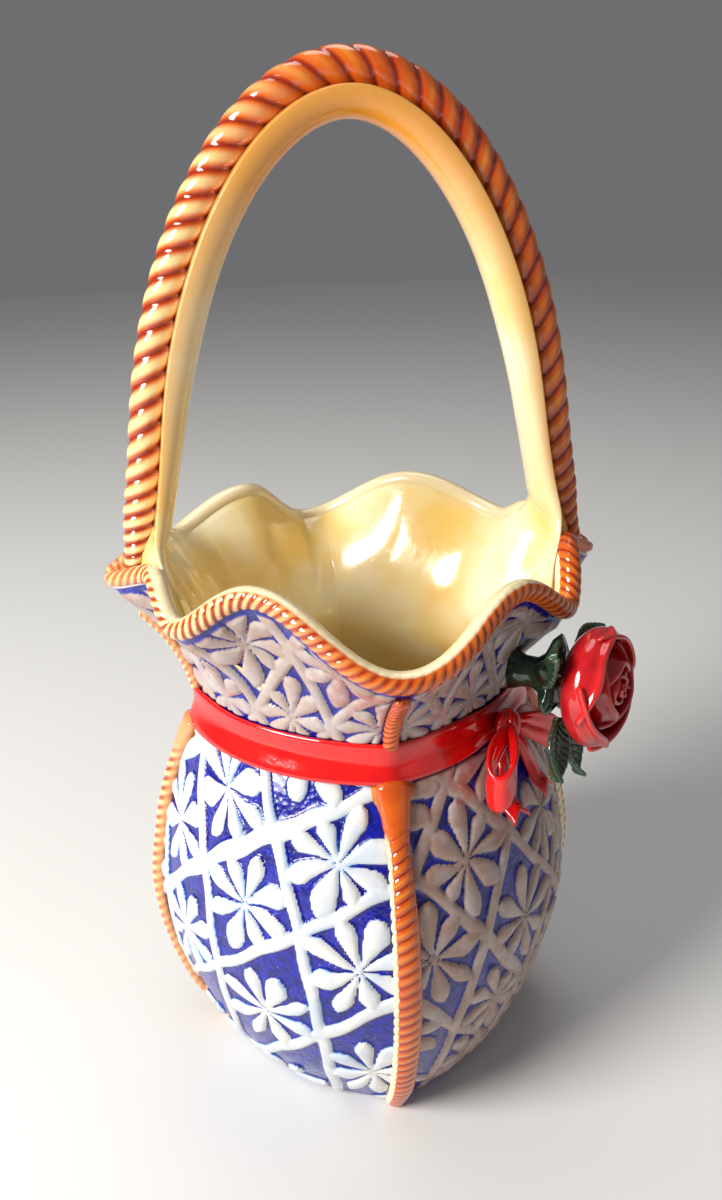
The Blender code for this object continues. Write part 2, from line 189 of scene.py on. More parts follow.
def rim_at(angle):
    """Height and outer radius of the wall's top edge."""
    turn = np.asarray(angle, float) % 360
    wave = np.array(RIM_WAVE) * [1, MM, MM]
    step = np.clip(np.searchsorted(wave[:, 0], turn, side="right") - 1, 0, len(wave) - 2)
    share = (turn - wave[step, 0]) / (wave[step + 1, 0] - wave[step, 0])
    ease = (1 - np.cos(math.pi * share)) / 2
    top, reach = (wave[step, k] + (wave[step + 1, k] - wave[step, k]) * ease for k in (1, 2))
    return top, reach


def wall_point(angle, height):
    """Points of the smooth outer wall, for arrays of angles and heights."""
    angle, height = np.broadcast_arrays(np.asarray(angle, float), np.asarray(height, float))
    corner = np.interp(height, PROFILE_HEIGHTS, PROFILE_RADII[:, 0])
    middle = np.interp(height, PROFILE_HEIGHTS, PROFILE_RADII[:, 1])
    radius = bowed_square(corner, middle, angle)
    top, reach = rim_at(angle)
    share = np.clip((height - NECK_HEIGHT) / (top - NECK_HEIGHT), 0, None)
    radius = radius + (reach - radius) * share**FLARE_POWER
    span = np.where(height < NECK_HEIGHT, STRETCH_BELOW, STRETCH_ABOVE)
    near = np.maximum(1 - ((height - NECK_HEIGHT) / span) ** 2, 0) ** 2
    turn = np.radians(angle)
    x = radius * np.sin(turn) * (1 + NECK_STRETCH * near)
    y = -radius * np.cos(turn) * (1 - NECK_STRETCH * near)
    return np.stack([x, y, height], axis=-1)


def unit(v):
    return v / np.maximum(np.linalg.norm(v, axis=-1, keepdims=True), 1e-12)


def wall_normal(angle, height):
    """Outward normals of the smooth wall."""
    step = 0.3
    around = wall_point(angle + step, height) - wall_point(angle - step, height)
    up = wall_point(angle, height + 0.4 * MM) - wall_point(angle, height - 0.4 * MM)
    return unit(np.cross(around, up))


# --- The raised lattice and its flowers ---


def bar_line(bar, x):
    return bar[0] + bar[1] * x + bar[2] * x * x


def bar_slope(bar, x):
    return bar[1] + 2 * bar[2] * x


def between(one, two):
    return tuple((a + b) / 2 for a, b in zip(one, two))


def meet(steep, cross):
    """Where a steep bar and a cross bar meet: distance from the corner, and height."""
    s, z = 30.0, 60.0
    for _ in range(12):
        gap = np.array([s - bar_line(steep, z), z - bar_line(cross, s)])
        slopes = np.array([[1, -bar_slope(steep, z)], [-bar_slope(cross, s), 1]])
        move = np.linalg.solve(slopes, gap)
        s, z = s - move[0], z - move[1]
    return np.array([s, z])


def off_bar(x, y, bar):
    """Distance from a bar that runs along y."""
    return np.abs(x - bar_line(bar, y)) / np.sqrt(1 + bar_slope(bar, y) ** 2)


def room(middle, way, steeps, crosses):
    """How far a petal may run from its flower's middle before it meets a bar."""
    for reach in np.arange(PETAL_REACH[0], PETAL_REACH[1], 0.25):
        s, z = middle + way * reach
        gaps = [off_bar(s, z, bar) for bar in steeps] + [off_bar(z, s, bar) for bar in crosses]
        if min(gaps) < BAR_HALF - TIP_OVERLAP:
            return reach
    return PETAL_REACH[1]


def petal_height(along, off, reach, width):
    """Rise of one drop-shaped petal, from its root at the flower's middle."""
    t = along / reach
    grow = np.clip(t / PETAL_FULL, 0, 1) ** 0.9
    tip = np.sqrt(np.clip(1 - ((t - PETAL_FULL) / (1 - PETAL_FULL)) ** 2, 0, 1))
    half = width * np.where(t < PETAL_FULL, grow, tip) + 1e-6
    inside = (t > 0) & (t < 1) & (np.abs(off) < half)
    dome = np.sqrt(np.clip(1 - (off / half) ** 2, 0, 1)) ** 0.8
    return np.where(inside, dome * (0.5 + 0.5 * np.clip(t / PETAL_FULL, 0, 1)), 0)


def petal_turns(middle, steeps, crosses):
    """Directions of a flower's petals: towards its cell's sides and corners, then evened out."""
    halfway = between(*steeps), between(*crosses)
    aims = [(steep, halfway[1]) for steep in steeps] + [(halfway[0], cross) for cross in crosses]
    aims += [(steep, cross) for steep in steeps for cross in crosses]
    ways = [meet(*aim) - middle for aim in aims]
    turns = np.sort([math.atan2(way[1], way[0]) for way in ways])
    for _ in range(2):
        before, after = np.roll(turns, 1), np.roll(turns, -1)
        before[0] -= 2 * math.pi
        after[-1] += 2 * math.pi
        turns = 0.5 * turns + 0.25 * (before + after)
    return turns


def flower(ds, dz, middle, steeps, crosses):
    """Rise of one flower's petals, at distances and heights from its middle."""
    found = np.zeros_like(ds)
    turns = petal_turns(middle, steeps, crosses)
    for turn in turns:
        way = np.array([math.cos(turn), math.sin(turn)])
        reach = room(middle, way, steeps, crosses)
        width = min(PETAL_HALF, PETAL_CROWD * reach * math.sin(math.pi / len(turns)))
        along, off = ds * way[0] + dz * way[1], ds * way[1] - dz * way[0]
        found = np.maximum(found, petal_height(along, off, reach, width))
    return found


def lattice(s, z, steep_bars, cross_bars):
    """Rise of bars and of petals, from 0 to 1, at distances s and heights z in millimetres."""
    bars, petals = np.zeros_like(s), np.zeros_like(s)
    for group, x, y in ((steep_bars, s, z), (cross_bars, z, s)):
        for bar in group:
            bars = np.maximum(bars, 1 - np.clip(off_bar(x, y, bar) / BAR_HALF, 0, 1) ** BAR_SQUARENESS)
    for steeps in zip(steep_bars, steep_bars[1:]):
        for crosses in zip(cross_bars, cross_bars[1:]):
            middle = meet(between(*steeps), between(*crosses))
            ds, dz = s - middle[0], z - middle[1]
            near = np.hypot(ds, dz) < FLOWER_SPAN
            if near.any():
                petals[near] = np.maximum(petals[near], flower(ds[near], dz[near], middle, steeps, crosses))
    return bars, petals


def relief(angle, height, radius):
    """Bars and petals over the whole wall; opposite panels are alike."""
    turn = (angle + 180) % 360 - 180
    front = np.abs(turn) < 90
    away = np.where(front, np.abs(turn), 180 - np.abs(turn))
    lefts = (turn < 0) == front
    wobble = 0.35 * np.sin(height / MM * 0.31 + away * 0.22) + 0.25 * np.sin(away * 0.41 + 1.3)
    z = height / MM + wobble
    s = np.radians(away) * radius / MM + 0.8 * wobble
    bars, petals = np.zeros_like(z), np.zeros_like(z)
    belly = height < NECK_HEIGHT
    for zone, steep, cross, across in (
        (belly & lefts, LEFT_STEEP, LEFT_CROSS, s),
        (belly & ~lefts, RIGHT_STEEP, RIGHT_CROSS, s),
        (~belly, BAND_STEEP, BAND_CROSS, np.radians(away) * BAND_RADIUS),
    ):
        bars[zone], petals[zone] = lattice(across[zone], z[zone], steep, cross)
    return bars, petals


def outer_grid():
    """Angles and heights of the outer wall's vertices, evenly spaced up the belly and the band."""
    angles = np.arange(AROUND) * 360 / AROUND
    heights = np.linspace(0, NECK_HEIGHT, WALL_SAMPLES)
    line = wall_point(np.full(WALL_SAMPLES, 45.0), heights)
    along = np.concatenate([[0], np.cumsum(np.linalg.norm(np.diff(line, axis=0), axis=1))])
    belly = np.interp(np.linspace(0, along[-1], BELLY_ROWS), along, heights)
    top, _ = rim_at(angles)
    share = np.arange(1, BAND_ROWS + 1) / BAND_ROWS
    band = NECK_HEIGHT + (top - NECK_HEIGHT) * share[:, None]
    z = np.concatenate([np.tile(belly[:, None], (1, AROUND)), band])
    return np.tile(angles, (len(z), 1)), z


def clear_of_edges(corner, top, z):
    """1 where relief may rise; 0 at the corners, behind the ribbon, at the rim and at the foot."""
    low, high = NECK_HEIGHT - RIBBON_CLEAR, NECK_HEIGHT + RIBBON_CLEAR
    below, above = smoothstep(low, low - RIBBON_FADE, z), smoothstep(high, high + RIBBON_FADE, z)
    clear = smoothstep(*CORNER_CLEAR, corner) * np.maximum(below, above)
    return clear * smoothstep(*RIM_CLEAR, top - z) * smoothstep(*FOOT_CLEAR, z)


def outer_wall(a, z):
    """Vertices of the outer wall with its relief, and the values that its glaze follows."""
    top, _ = rim_at(a[0])
    wall = wall_point(a, z)
    radius = np.hypot(wall[..., 0], wall[..., 1])
    bars, petals = relief(a.ravel(), z.ravel(), radius.ravel())
    bars, petals = bars.reshape(z.shape), petals.reshape(z.shape)
    corner = radius * np.radians(np.abs((a + 45) % 90 - 45)) / MM
    clear = clear_of_edges(corner, top, z)
    rise = np.maximum(bars * BAR_RISE, petals * PETAL_RISE) * clear * MM
    mask = np.maximum(smoothstep(0.0, BAR_WHITE, bars), smoothstep(0.0, PETAL_WHITE, petals)) * clear
    # Tan on the relief: a real stain plus painted shade over the band, painted shade with warm reflected
    # light on the right-hand panels
    near_rim = BAND_STAIN_AND_SHADE + (1 - BAND_STAIN_AND_SHADE) * np.exp(-np.maximum(top - z, 0) / STAIN_DEPTH)
    turn = (a + 180) % 360 - 180
    right = (turn > 0) == (np.abs(turn) < 90)
    near_ribbon = smoothstep(NECK_HEIGHT - SEAM_SPREAD[0], NECK_HEIGHT - SEAM_SPREAD[1], z)
    outer, inner = (narrow + more * near_ribbon for narrow, more in SEAM_HALF)
    values = {
        "relief": mask,
        "tan_stain_and_shade": np.where(z > NECK_HEIGHT, near_rim, SIDE_SHADE * right),
        "seam": smoothstep(outer, inner, corner) * (z < NECK_HEIGHT),
        "ground": np.ones_like(z),
    }
    return wall + wall_normal(a, z) * rise[..., None], values


def lip_and_inside(angles):
    """Rows of vertices over the rounded lip, down the inside and across the inner floor."""
    top, _ = rim_at(angles)
    edge = wall_point(angles, top)
    inwards = -wall_normal(angles, top - 0.5 * MM)
    upwards = unit(edge - wall_point(angles, top - 1 * MM))
    rows = []
    for turn in np.linspace(0, math.pi, LIP_ROWS + 1)[1:]:
        reach = (1 - math.cos(turn)) / 2 * WALL
        rows.append(edge + inwards * reach + upwards * math.sin(turn) * LIP_RISE)
    floor = WALL / NECK_HEIGHT
    for share in np.linspace(1, 0, INSIDE_ROWS)[1:]:
        if share > NECK_SHARE:
            level = NECK_HEIGHT + (top - NECK_HEIGHT) * (share - NECK_SHARE) / (1 - NECK_SHARE)
        else:
            level = np.full(AROUND, NECK_HEIGHT * (floor + (1 - floor) * share / NECK_SHARE))
        rows.append(wall_point(angles, level) - wall_normal(angles, level) * WALL)
    last = rows[-1]
    for shrink in (0.96, 0.9, 0.6, 0.3, 0.03):
        ring = last * [shrink, shrink, 1]
        ring[:, 2] = WALL + (last[:, 2] - WALL) * max(shrink - 0.9, 0) * 8
        rows.append(ring)
    return rows


def underside(angles):
    """Rows of vertices from the middle of the recessed base, over the foot ring, to the wall."""
    foot = wall_point(angles, np.zeros(AROUND))
    reach = np.hypot(foot[:, 0], foot[:, 1])[:, None]
    rows = []
    for inset, level in (
        (reach * 0.97, BASE_RECESS),
        (14 * MM, BASE_RECESS),
        (FOOT_RING + 0.8 * MM, BASE_RECESS),
        (FOOT_RING, 0.5 * MM),
        (FOOT_RING - 0.7 * MM, 0),
        (1.4 * MM, 0),
    ):
        ring = foot * (1 - inset / reach)
        ring[:, 2] = level
        rows.append(ring)
    return rows


def close_ends(faces, rows, columns, flip=False):
    """Adds one face over each end of a tube of vertex rings."""
    first, end = list(range(columns)), (rows - 1) * columns
    last = [end + column for column in first]
    faces += [first, last[::-1]] if flip else [first[::-1], last]


def make_body(glaze, cream):
    a, z = outer_grid()
    outside, values = outer_wall(a, z)
    under = underside(a[0])
    rows = under + list(outside[1:]) + lip_and_inside(a[0])
    count_under, count_outside = len(under), len(outside) - 1
    faces = grid_faces(len(rows), AROUND)
    close_ends(faces, len(rows), AROUND)
    attributes = {}
    for key, value in values.items():
        full = np.zeros((len(rows), AROUND))
        full[count_under : count_under + count_outside] = value[1:]
        attributes[key] = full
    attributes["relief"][count_under + count_outside :] = 1
    vertices = np.concatenate(rows)
    body = place("vase_body", "glazed", vertices, faces, [glaze, cream], attributes)
    first_inside = (count_under + count_outside + 1) * AROUND
    index = np.zeros(len(body.data.polygons), np.int32)
    index[first_inside:] = 1
    index[-2] = 0
    body.data.polygons.foreach_set("material_index", index)


# --- Ropes and strap ---

ROPE_ANGLE_STEPS = 36
ROPE_STEP = 0.27 * MM
STRAND_DEPTH = 0.22
CALM_DENT = 0.2
# Painted highlight: every rope's crests are painted cream towards the vase's left, where the key light falls,
# between these two positions
HIGHLIGHT_FROM = -2 * MM
HIGHLIGHT_TO = -46 * MM


def resample(points, step):
    """The same line with points a fixed distance apart."""
    points = np.asarray(points, float)
    along = np.concatenate([[0], np.cumsum(np.linalg.norm(np.diff(points, axis=0), axis=1))])
    count = int(along[-1] / step) + 1
    at = np.linspace(0, along[-1], count)
    return np.stack([np.interp(at, along, points[:, k]) for k in range(3)], axis=1)


def smooth_line(points, passes):
    """Averages each point with its neighbours; the ends stay."""
    line = np.array(points, float)
    for _ in range(passes):
        line[1:-1] = (line[:-2] + 2 * line[1:-1] + line[2:]) / 4
    return line


def make_rope(node, points, radius, strands, lead, finish, twist=1, wide=1, deep=1, centre=0, calm=0, cream_and_highlight=0):
    """A twisted rope along a line; its outer side faces away from the Z axis, or from a centre on it.

    Strands wind round once in each lead. wide and deep scale the section along the line. calm says
    how smooth each vertex is; the last argument says how much cream is painted on: real cream glaze on
    the rim ropes, a painted highlight down one flank of the lower corner ropes. Crests towards the
    vase's left are also painted cream as a painted highlight.
    """
    count = len(points)
    tangent = unit(np.gradient(points, axis=0))
    outward = points - [0, 0, centre] if centre else points * [1, 1, 0]
    side = unit(np.cross(tangent, outward))
    normal = unit(np.cross(side, tangent))
    gap = np.linalg.norm(np.diff(points, axis=0), axis=1)
    lead = np.broadcast_to(lead, count)
    phase = np.concatenate([[0], np.cumsum(2 * math.pi * gap / ((lead[1:] + lead[:-1]) / 2))])
    around = circle(ROPE_ANGLE_STEPS)
    strand = (around[None, :] + twist * phase[:, None]) * strands / (2 * math.pi)
    across = 2 * np.abs(strand % 1 - 0.5)
    calm, cream_and_highlight = np.broadcast_to(calm, across.shape), np.broadcast_to(cream_and_highlight, across.shape)
    bulge = np.sqrt(np.clip(1 - (0.94 * across) ** 2, 0, 1))
    dent = (1 - bulge) * (1 - calm) + CALM_DENT * calm
    along = np.concatenate([[0], np.cumsum(gap)])
    close = np.clip(np.minimum(along, along[-1] - along) / (radius * 0.9), 0, 1)
    close = np.sqrt(1 - (1 - close) ** 2)[:, None]
    reach = radius * (1 - STRAND_DEPTH * dent) * np.maximum(close, 0.02)
    wide, deep = (np.broadcast_to(scale, count)[:, None] for scale in (wide, deep))
    rings = (
        points[:, None, :]
        + (reach * np.sin(around) * wide)[..., None] * side[:, None, :]
        + (reach * np.cos(around) * deep)[..., None] * normal[:, None, :]
    )
    faces = grid_faces(count, ROPE_ANGLE_STEPS)
    close_ends(faces, count, ROPE_ANGLE_STEPS)
    # Painted highlight: how much the crests are painted cream towards the vase's left
    light = smoothstep(HIGHLIGHT_FROM, HIGHLIGHT_TO, rings[..., 0])
    attributes = {"groove": across * (1 - calm) + 0.5 * calm, "cream_and_highlight": cream_and_highlight, "light": light}
    place(node, "twisted", rings, faces, [finish], attributes)


def calm_between(start, full):
    """Smoothness round a rope's section: 0 at the angle start, 1 at full, both from its outer side."""
    around = (np.arange(ROPE_ANGLE_STEPS) * 360 / ROPE_ANGLE_STEPS + 180) % 360 - 180
    if start < full:
        return smoothstep(start, full, around)
    return 1 - smoothstep(full, start, around)


TOTAL_HEIGHT = 245 * MM
ARCH_HALF_WIDTH = 52 * MM
ARCH_SPRING = 148 * MM
ARCH_POWER = 1.98
FOOT_FLARE = 6.8 * MM
FOOT_FLARE_FROM = 172 * MM
FOOT_FLARE_SPAN = 40 * MM
HANDLE_ROPE_RADIUS = 4.3 * MM
HANDLE_ROPE_FOOT = 135.6 * MM
HANDLE_STRANDS = 3
# Length of one full turn of the strands, and how much shorter it is at the foot
HANDLE_LEAD = 16.4 * MM
FOOT_LEAD_LOSS = 9.6 * MM
RIM_ROPE_RADIUS = 2.5 * MM
RIM_STRANDS = 4
RIM_LEAD = 9.4 * MM
# Corner ropes: height of the foot and of the top, radius, and length of one full turn
LOWER_ROPE = (1.2 * MM, 98.5 * MM, 2.3 * MM, 8.4 * MM)
UPPER_ROPE_FOOT, UPPER_ROPE_RADIUS, UPPER_ROPE_LEAD = 105.5 * MM, 1.7 * MM, 6.0 * MM
CORNER_STRANDS = 3
# Corner name, angle, and top of the upper rope
CORNERS = (
    ("front", 0, 125.5 * MM),
    ("right", 90, 128.0 * MM),
    ("back", 180, 123.5 * MM),
    ("left", 270, 128.5 * MM),
)
# Width of the lower corner ropes against their height in millimetres: broad at the belly, and
# spread out where they run smooth under the ribbon
LOWER_WIDTH = ((0, 15, 45, 70, 85, 98), (1.1, 1.35, 1.5, 1.4, 1.15, 1.87))
UPPER_WIDTH = 1.12


def arch_outline(inset, foot):
    """The handle's arch from its left foot to its right one, moved inwards by inset."""
    turn = np.linspace(0, math.pi / 2, 160)
    across = ARCH_HALF_WIDTH * np.clip(np.cos(turn), 0, 1) ** (2 / ARCH_POWER)
    up = ARCH_SPRING + (TOTAL_HEIGHT - ARCH_SPRING) * np.sin(turn) ** (2 / ARCH_POWER)
    low = np.linspace(foot, ARCH_SPRING, 24)[:-1]
    across = np.concatenate([np.full(len(low), ARCH_HALF_WIDTH), across])
    up = np.concatenate([low, up])
    across = across + FOOT_FLARE * (np.maximum(FOOT_FLARE_FROM - up, 0) / FOOT_FLARE_SPAN) ** 2
    right = np.stack([across, np.zeros_like(up), up], axis=1)
    left = right * [-1, 1, 1]
    line = resample(np.concatenate([left, right[-2::-1]]), 0.5 * MM)
    line = smooth_line(line, 30)
    along = np.gradient(line, axis=0)
    inward = unit(np.stack([along[:, 2], along[:, 1], -along[:, 0]], axis=1))
    return line + inward * inset


def make_handle_rope(finish):
    line = resample(arch_outline(HANDLE_ROPE_RADIUS + 0.3 * MM, HANDLE_ROPE_FOOT), 0.4 * MM)
    drop = smoothstep(151 * MM, 136 * MM, line[:, 2])
    low = smoothstep(172 * MM, 134 * MM, line[:, 2])
    lead = HANDLE_LEAD - FOOT_LEAD_LOSS * low
    wide, deep = 0.96 + 0.5 * drop**1.3, 0.96 - 0.4 * drop**0.8
    make_rope("handle_rope", line, HANDLE_ROPE_RADIUS, HANDLE_STRANDS, lead, finish, -1, wide, deep, 150 * MM)


STRAP_SECTION = 56
STRAP_FOOT = 117.5 * MM
STRAP_THICKNESS = 6.0 * MM
STRAP_FOOT_THICKNESS = 3.4 * MM
STRAP_BACK = 0.6 * MM
# Half width of the strap, and rise of its feet off the inside of the wall, each against height
STRAP_HALF = ((117, 124, 130, 135, 141, 150, 162, 176), (27, 26.5, 24, 19, 12.5, 8.6, 7.0, 6.2))
STRAP_LIFT = ((117, 122, 130, 140), (-1.0, 0.4, 2.2, 3.6))
# The feet leave the wall between these heights
ROOT_FADE = (150 * MM, 136 * MM)


def make_strap(finish):
    """The rounded inner band, whose feet spread out and run into the inside of the wall."""
    line = resample(arch_outline(2 * HANDLE_ROPE_RADIUS - 0.5 * MM, STRAP_FOOT), 0.9 * MM)
    z = line[:, 2]
    half = np.interp(z, *(np.array(row) * MM for row in STRAP_HALF))
    half = np.convolve(np.pad(half, 6, mode="edge"), np.ones(13) / 13, mode="valid")[:, None]
    side = np.sign(line[:, :1])
    tangent = unit(np.gradient(line, axis=0))
    inward = unit(np.stack([tangent[:, 2], tangent[:, 1], -tangent[:, 0]], axis=1))
    turns = circle(STRAP_SECTION)
    across = squarish(np.sin(turns), 0.8)
    inner = np.clip(np.cos(turns), 0, 1) ** 0.8
    outer = np.clip(-np.cos(turns), 0, 1) ** 0.6
    y = half * across
    level = z[:, None] + 0 * y
    grow = smoothstep(142 * MM, 196 * MM, z)[:, None]
    thick = STRAP_FOOT_THICKNESS + (STRAP_THICKNESS - STRAP_FOOT_THICKNESS) * grow
    depth = thick * inner - STRAP_BACK * outer
    free = line[:, None, :] + depth[..., None] * inward[:, None, :]
    free[..., 1] = y
    # Down the inside of the wall
    angle = 90 + np.degrees(np.arctan2(y, 46 * MM))
    angle = np.where(side > 0, angle, 360 - angle)
    wall = wall_point(angle, np.minimum(level, rim_at(angle)[0] - 1 * MM))
    reach = np.hypot(wall[..., 0], wall[..., 1]) - WALL
    lift = np.interp(z, *(np.array(row) * MM for row in STRAP_LIFT))[:, None]
    cover = lift * (1 - across**2) * inner - 0.7 * MM - 1.0 * MM * outer
    web = np.stack([side * (np.sqrt(np.maximum(reach**2 - y**2, 0)) - cover), y, level], axis=-1)
    root = smoothstep(*ROOT_FADE, z)[:, None, None]
    rings = free * (1 - root) + web * root
    faces = grid_faces(len(line), STRAP_SECTION)
    close_ends(faces, len(line), STRAP_SECTION)
    pool = (1 - inner) * (1 - smoothstep(160 * MM, 140 * MM, z)[:, None])
    crown = smoothstep(185 * MM, 238 * MM, z)[:, None] * np.ones(STRAP_SECTION)
    attributes = {"pool": pool, "crown": crown}
    place("handle_strap", "glazed", rings, faces, [finish], attributes)


def on_rim(angle, above):
    """Points above the middle of the wall's edge, in line with the wall there."""
    top, _ = rim_at(angle)
    edge = wall_point(angle + 1, rim_at(angle + 1)[0]) - wall_point(angle - 1, rim_at(angle - 1)[0])
    rise = wall_point(angle, top) - wall_point(angle, top - 2 * MM)
    outward = unit(np.cross(edge, rise))
    upward = unit(np.cross(outward, edge))
    return wall_point(angle, top) - outward * WALL / 2 + upward * above


def make_rim_ropes(finish):
    """Half-round ropes on the rim: twisted outside, smooth and cream-glazed on top and inside."""
    inner = np.maximum(calm_between(-20, -75), calm_between(110, 160))
    for node, middle in (("rim_rope_front", 0), ("rim_rope_back", 180)):
        angle = middle + np.linspace(-90, 90, 700)
        points = on_rim(angle, RIM_ROPE_RADIUS * 0.7)
        line = resample(smooth_line(points, 12), ROPE_STEP)
        right = line[:, 0] > 0
        away = np.degrees(np.arctan2(np.abs(line[:, 0]), np.abs(line[:, 1])))
        # The smooth top ends short of the handle's feet, and sooner at the front right
        short = right & (node == "rim_rope_front")
        fade = np.where(short, smoothstep(58, 42, away), smoothstep(84, 72, away))
        cream_and_highlight = inner[None, :] * fade[:, None]
        slim = 1 - np.where(right, 0.42, 0.2) * smoothstep(74, 86, away)
        calm = np.maximum(cream_and_highlight, 0.65 * smoothstep(76, 84, away)[:, None])
        shape = {"wide": slim, "deep": slim, "calm": calm, "cream_and_highlight": cream_and_highlight}
        make_rope(node, line, RIM_ROPE_RADIUS, RIM_STRANDS, RIM_LEAD, finish, **shape)


def make_corner_ropes(finish):
    """Ropes up the four corners, half sunk in the wall, with their twist fading under the ribbon."""
    sides = calm_between(15, 75)
    # Painted highlight: cream down one flank of each lower corner rope (the left flank on the front one),
    # fading out under the ribbon
    edge = calm_between(-38, -62)
    for corner, angle, top in CORNERS:
        upper_rope = (UPPER_ROPE_FOOT, top, UPPER_ROPE_RADIUS, UPPER_ROPE_LEAD)
        for level, (low, high, radius, lead) in (("lower", LOWER_ROPE), ("upper", upper_rope)):
            lower = level == "lower"
            z = np.linspace(low, high, 240)
            a = np.full(len(z), float(angle))
            points = wall_point(a, z) + wall_normal(a, z) * radius * 0.3
            line = resample(smooth_line(points, 6), ROPE_STEP)
            fade = smoothstep(82 * MM, 93 * MM, line[:, 2]) * lower
            shape = {
                "wide": np.interp(line[:, 2] / MM, *LOWER_WIDTH) if lower else UPPER_WIDTH,
                "calm": np.maximum(0.85 * sides[None, :], fade[:, None]) * 0.999,
                # Painted highlight on the flank, on the lower ropes only
                "cream_and_highlight": edge[None, :] * (1 - fade[:, None]) * lower,
            }
            node = f"corner_rope_{level}_{corner}"
            make_rope(node, line, radius, CORNER_STRANDS, lead, finish, -1, **shape)


# --- Ribbon and bow ---

RIBBON_HEIGHT = 10.2 * MM
RIBBON_THICKNESS = 1.5 * MM
RIBBON_STEPS = 360
BOW_ANGLE = 48
BOW_DISTANCE = 37.6 * MM
# The rest of the bow and the rose are in millimetres, in the bow's or the rose's own frame
KNOT_PLEATS = 9
KNOT_ROWS = 25
LOOP_HEADING = 75
LOOP_LENGTH = 13.2
LOOP_THICKNESS = 1.15
TAIL_LENGTH = 18.5
TAIL_THICKNESS = 1.2


def direction(angle):
    turn = math.radians(angle)
    return np.array([math.sin(turn), -math.cos(turn), 0.0])


def framed(frame_at, x, y, z):
    """A point given in millimetres in a frame, which is an origin and three directions."""
    origin, axes = frame_at
    return origin + (np.array([x, y, z]) * MM) @ axes


def headings(angle):
    """Directions ahead and to the left of a heading in a frame's first two directions."""
    turn = math.radians(angle)
    return np.array([math.cos(turn), math.sin(turn)]), np.array([-math.sin(turn), math.cos(turn)])


def sheet(down, across, point):
    """Rows of points: point(t, w) for each t down the sheet and each w across it."""
    return [[point(t, w) for w in across] for t in down]


def make_ribbon(finish):
    """A flat band round the neck with rolled edges and soft lengthwise folds."""
    angles = np.arange(RIBBON_STEPS) * 360 / RIBBON_STEPS
    turns = circle(40)
    across, deep = squarish(np.sin(turns), 0.55), squarish(np.cos(turns), 0.55)
    near_bow = np.exp(-(((angles - BOW_ANGLE) / 16) ** 2))
    sway = 0.35 * np.sin(np.radians(angles * 2) + 0.7) * MM
    rows = []
    for a, d in zip(across, deep):
        height = NECK_HEIGHT + a * RIBBON_HEIGHT / 2 * (1 - 0.22 * near_bow) + sway
        fold = 0.3 * (1 - a * a) + 0.06 * math.cos(a * 7.0) + 0.45 * near_bow * math.cos(a * 11)
        lift = (0.3 + RIBBON_THICKNESS / MM * (d + 1) / 2 + fold * (d > 0)) * MM
        rows.append(wall_point(angles, height) + wall_normal(angles, height) * lift[:, None])
    count = len(turns)
    step = np.arange(RIBBON_STEPS)[:, None]
    low, high = step * count, (step + 1) % RIBBON_STEPS * count
    here, there = np.arange(count)[None, :], (np.arange(count)[None, :] + 1) % count
    faces = np.stack([low + here, high + here, high + there, low + there], axis=-1).reshape(-1, 4)
    fold = np.tile(np.abs(across) ** 4, (RIBBON_STEPS, 1))
    rings = np.stack(rows, axis=1)
    place("ribbon_band", "glazed", rings, faces.tolist(), [finish], {"fold": fold})


def shell(rows, thickness):
    """A closed, round-edged shell from a grid of points: vertices, faces and a 0-1 edge value."""
    rows = np.asarray(rows, float)
    down, across = rows.shape[:2]
    normal = unit(np.cross(np.gradient(rows, axis=0), np.gradient(rows, axis=1)))
    i = np.minimum(np.arange(down), np.arange(down)[::-1])[:, None]
    j = np.minimum(np.arange(across), np.arange(across)[::-1])[None, :]
    inset = np.minimum(i, j)
    half = thickness * MM / 2 * np.sqrt(1 - (1 - np.clip((inset + 0.35) / 2.5, 0, 1)) ** 2)
    front, back = rows + normal * half[..., None], rows - normal * half[..., None]
    count = down * across
    faces = grid_faces(down, across, wrap=False)
    faces += [[count + v for v in face[::-1]] for face in faces]
    index = np.arange(count).reshape(down, across)
    rim = np.concatenate([index[0], index[1:, -1], index[-1, -2::-1], index[-2:0:-1, 0]]).tolist()
    faces += [[a, count + a, count + b, b] for a, b in zip(rim, rim[1:] + rim[:1])]
    return np.stack([front, back]), faces, np.tile(np.exp(-inset / 2.0).ravel(), 2)


def place_shell(node, ending, down, across, point, thickness, finish, values=None):
    """A sheet of clay; values holds its glaze's other value for each point, or None for a ribbon."""
    rows = sheet(down, across, point)
    vertices, faces, edge = shell(rows, thickness)
    attributes = {"fold": edge} if values is None else {"edge": edge}
    for key, value in (values or {}).items():
        attributes[key] = np.tile(value, 2)
    place(node, ending, vertices, faces, [finish], attributes)


def bow_frame():
    """Origin on the ribbon at the bow, and the directions outwards, along the ribbon and up."""
    out = direction(BOW_ANGLE)
    along = np.cross([0, 0, 1], out)
    return out * BOW_DISTANCE + np.array([0, 0, NECK_HEIGHT]), np.stack([out, along, [0, 0, 1]])


def make_knot(finish):
    """The bow's knot, a pleated ball."""
    turns = circle(56)

    def point(v, t):
        pleat = 1 + 0.10 * math.cos(t * KNOT_PLEATS)
        r = math.sqrt(max(1 - v * v, 0.0))
        x, y = 2.6 + 2.7 * r * math.cos(t) * pleat, 3.3 * r * math.sin(t) * pleat
        return framed(bow_frame(), x, y, 4.1 * v * (1 + 0.12 * math.cos(2 * t)))

    rows = sheet(np.linspace(-1, 1, KNOT_ROWS), turns, point)
    fold = np.tile((0.5 - 0.5 * np.cos(turns * KNOT_PLEATS)) ** 2 * 0.6, (KNOT_ROWS, 1))
    faces = grid_faces(KNOT_ROWS, len(turns))
    place("bow_knot", "glazed", rows, faces, [finish], {"fold": fold})


